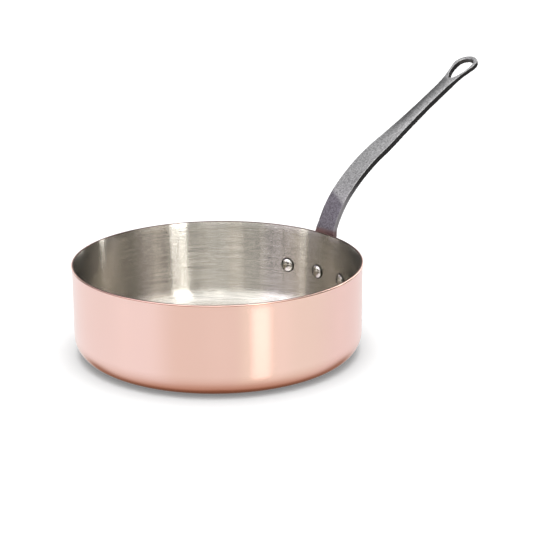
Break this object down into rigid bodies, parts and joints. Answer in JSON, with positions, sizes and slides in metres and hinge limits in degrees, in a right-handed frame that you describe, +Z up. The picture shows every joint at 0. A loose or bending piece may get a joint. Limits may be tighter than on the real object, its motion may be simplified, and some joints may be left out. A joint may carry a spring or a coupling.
{
  "type": "saute pan",
  "caption": "Straight-sided copper saute pan with a steel lining, a slightly flared rim and a long riveted iron handle that rises to a hanging eye.",
  "frame": {"origin": "centre of the flat underside of the base, on the pan's axis", "axes": "+Z up along the pan's axis, +X towards the handle's eye, +Y to the left of the handle as seen from above the pan"},
  "size_m": [0.4459, 0.2412, 0.2074],
  "materials": {
    "copper": "satin copper, finely brushed, with a lighter bloom up the wall",
    "lining": "steel brushed round the pan",
    "iron": "grey iron with a fine cast grain",
    "rivet": "polished domed heads"
  },
  "bodies": {
    "root": {"copper_body": "copper", "steel_lining": "lining", "handle": "iron", "rivet_left": "rivet", "rivet_middle": "rivet", "rivet_right": "rivet"}
  },
  "joints": []
}
